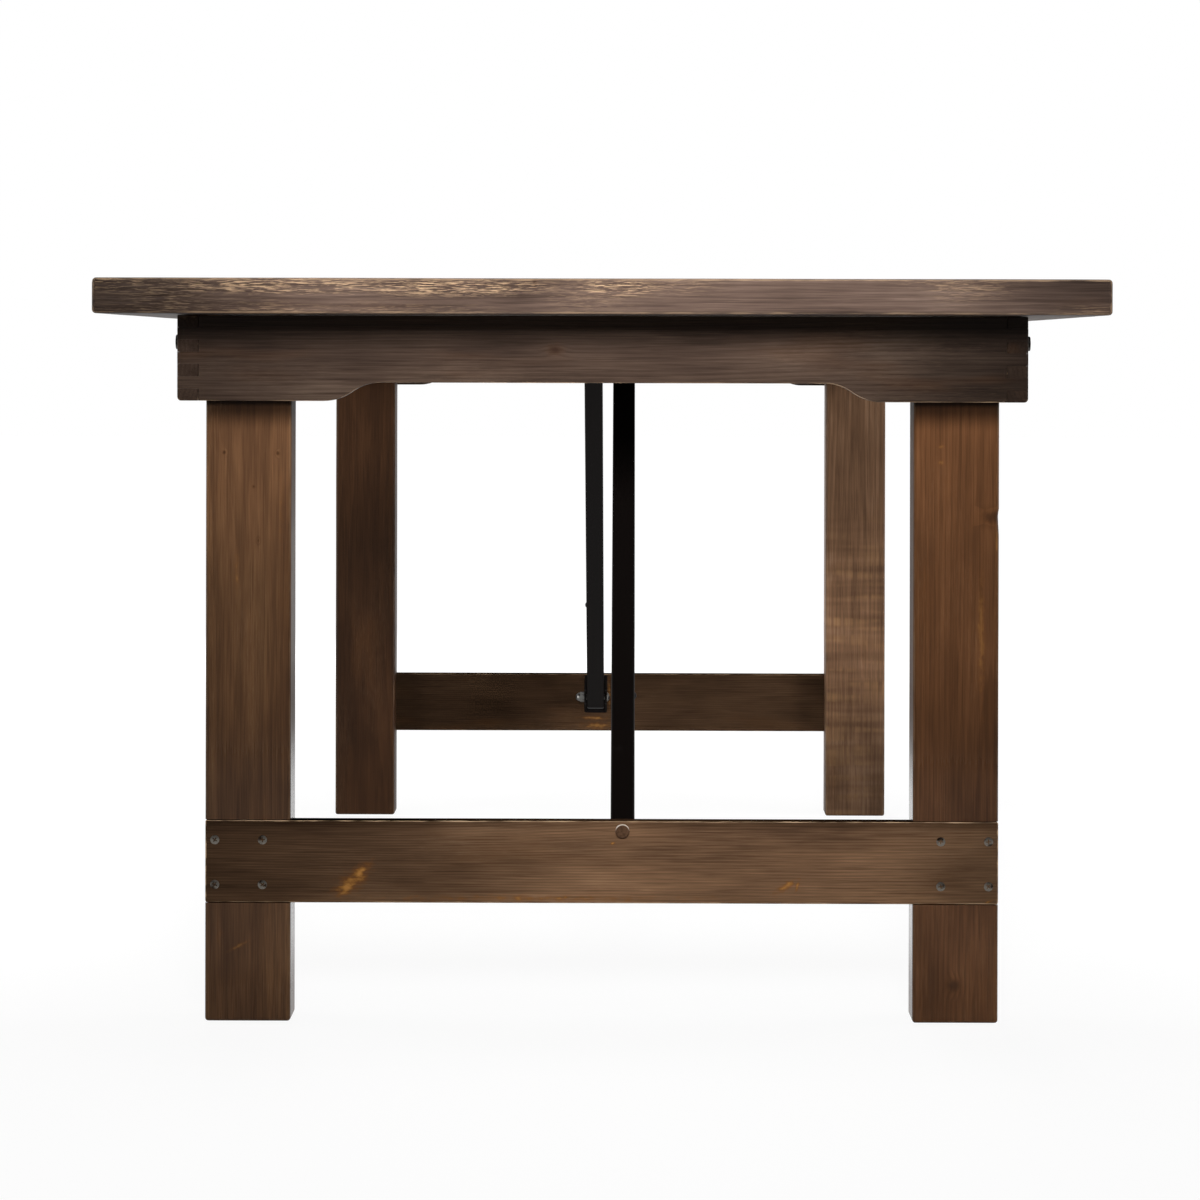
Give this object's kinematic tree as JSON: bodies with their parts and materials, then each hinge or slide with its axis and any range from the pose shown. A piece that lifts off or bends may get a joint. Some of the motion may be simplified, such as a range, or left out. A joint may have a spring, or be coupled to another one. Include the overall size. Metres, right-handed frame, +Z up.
{
  "type": "folding farmhouse table",
  "caption": "Farmhouse table with a plank top, arched end aprons and stretchered square legs that fold in under the top on pivot bolts, held by steel braces with wing nuts.",
  "frame": {"origin": "on the floor under the middle of the top", "axes": "+Z up, +Y along the table's length away from its front end, +X across it to the right of someone facing the front end"},
  "size_m": [1.016, 2.4384, 0.762],
  "materials": {
    "stained_pine_top": "brushed dark walnut stain",
    "stained_pine_apron": "dark walnut stain, satin",
    "stained_pine_frame": "dark walnut stain, satin",
    "stained_pine_hidden": "thin dark stain",
    "black_steel": "black powder coat",
    "zinc_steel": "bright zinc plate",
    "black_plastic": "moulded, matt",
    "nylon": "natural"
  },
  "bodies": {
    "table": {"top_plank_1": "stained_pine_top", "top_plank_2": "stained_pine_top", "top_plank_3": "stained_pine_top", "top_plank_4": "stained_pine_top", "top_plank_5": "stained_pine_top", "top_plank_6": "stained_pine_top", "front_breadboard": "stained_pine_top", "rear_breadboard": "stained_pine_top", "front_end_apron": "stained_pine_apron", "rear_end_apron": "stained_pine_apron", "left_side_apron": "stained_pine_apron", "right_side_apron": "stained_pine_apron", "front_ledger": "stained_pine_hidden", "rear_ledger": "stained_pine_hidden", "front_cleat": "stained_pine_hidden", "rear_cleat": "stained_pine_hidden", "left_middle_batten": "stained_pine_hidden", "right_middle_batten": "stained_pine_hidden", "front_left_pivot_bolt": "zinc_steel", "front_left_pivot_nut": "zinc_steel", "front_left_pivot_spacer": "nylon", "front_right_pivot_bolt": "zinc_steel", "front_right_pivot_nut": "zinc_steel", "front_right_pivot_spacer": "nylon", "front_brace_catch": "black_steel", "front_brace_keeper": "black_steel", "rear_left_pivot_bolt": "zinc_steel", "rear_left_pivot_nut": "zinc_steel", "rear_left_pivot_spacer": "nylon", "rear_right_pivot_bolt": "zinc_steel", "rear_right_pivot_nut": "zinc_steel", "rear_right_pivot_spacer": "nylon", "rear_brace_catch": "black_steel", "rear_brace_keeper": "black_steel"},
    "front_leg_frame": {"front_left_leg": "stained_pine_frame", "front_right_leg": "stained_pine_frame", "front_stretcher": "stained_pine_frame", "front_brace_bracket": "black_steel", "front_carriage_bolt": "zinc_steel", "front_carriage_nut": "zinc_steel", "front_brace_pivot_bolt": "zinc_steel", "front_brace_pivot_cap_nut": "zinc_steel"},
    "front_brace_arm": {"front_brace": "black_steel", "front_brace_lower_plug": "black_plastic", "front_brace_upper_plug": "black_plastic", "front_clamp_bolt": "zinc_steel"},
    "front_wing_nut_turn": {"front_wing_nut": "zinc_steel"},
    "rear_leg_frame": {"rear_left_leg": "stained_pine_frame", "rear_right_leg": "stained_pine_frame", "rear_stretcher": "stained_pine_frame", "rear_brace_bracket": "black_steel", "rear_carriage_bolt": "zinc_steel", "rear_carriage_nut": "zinc_steel", "rear_brace_pivot_bolt": "zinc_steel", "rear_brace_pivot_cap_nut": "zinc_steel"},
    "rear_brace_arm": {"rear_brace": "black_steel", "rear_brace_lower_plug": "black_plastic", "rear_brace_upper_plug": "black_plastic", "rear_clamp_bolt": "zinc_steel"},
    "rear_wing_nut_turn": {"rear_wing_nut": "zinc_steel"}
  },
  "joints": [
    {"name": "front_leg_fold", "type": "hinge", "parent": "table", "child": "front_leg_frame", "pos_m": [0, -1.0294, 0.698], "axis": [1, 0, 0], "range_deg": [0, 90]},
    {"name": "front_brace_swing", "type": "hinge", "parent": "front_leg_frame", "child": "front_brace_arm", "pos_m": [0.0215, -1.0214, 0.1745], "axis": [-1, 0, 0], "range_deg": [0, 132.9]},
    {"name": "front_wing_nut_spin", "type": "hinge", "parent": "front_brace_arm", "child": "front_wing_nut_turn", "pos_m": [0.0215, -0.4514, 0.704], "axis": [1, 0, 0], "range_deg": [0, 360]},
    {"name": "rear_leg_fold", "type": "hinge", "parent": "table", "child": "rear_leg_frame", "pos_m": [0, 1.0294, 0.698], "axis": [-1, 0, 0], "range_deg": [0, 90]},
    {"name": "rear_brace_swing", "type": "hinge", "parent": "rear_leg_frame", "child": "rear_brace_arm", "pos_m": [-0.0215, 1.0214, 0.1745], "axis": [1, 0, 0], "range_deg": [0, 132.9]},
    {"name": "rear_wing_nut_spin", "type": "hinge", "parent": "rear_brace_arm", "child": "rear_wing_nut_turn", "pos_m": [-0.0215, 0.4514, 0.704], "axis": [-1, 0, 0], "range_deg": [0, 360]}
  ],
  "couplings": [
    {"joint": "front_brace_swing", "follows": "front_leg_fold", "ratio": 1.4766},
    {"joint": "rear_brace_swing", "follows": "rear_leg_fold", "ratio": 1.4766}
  ]
}
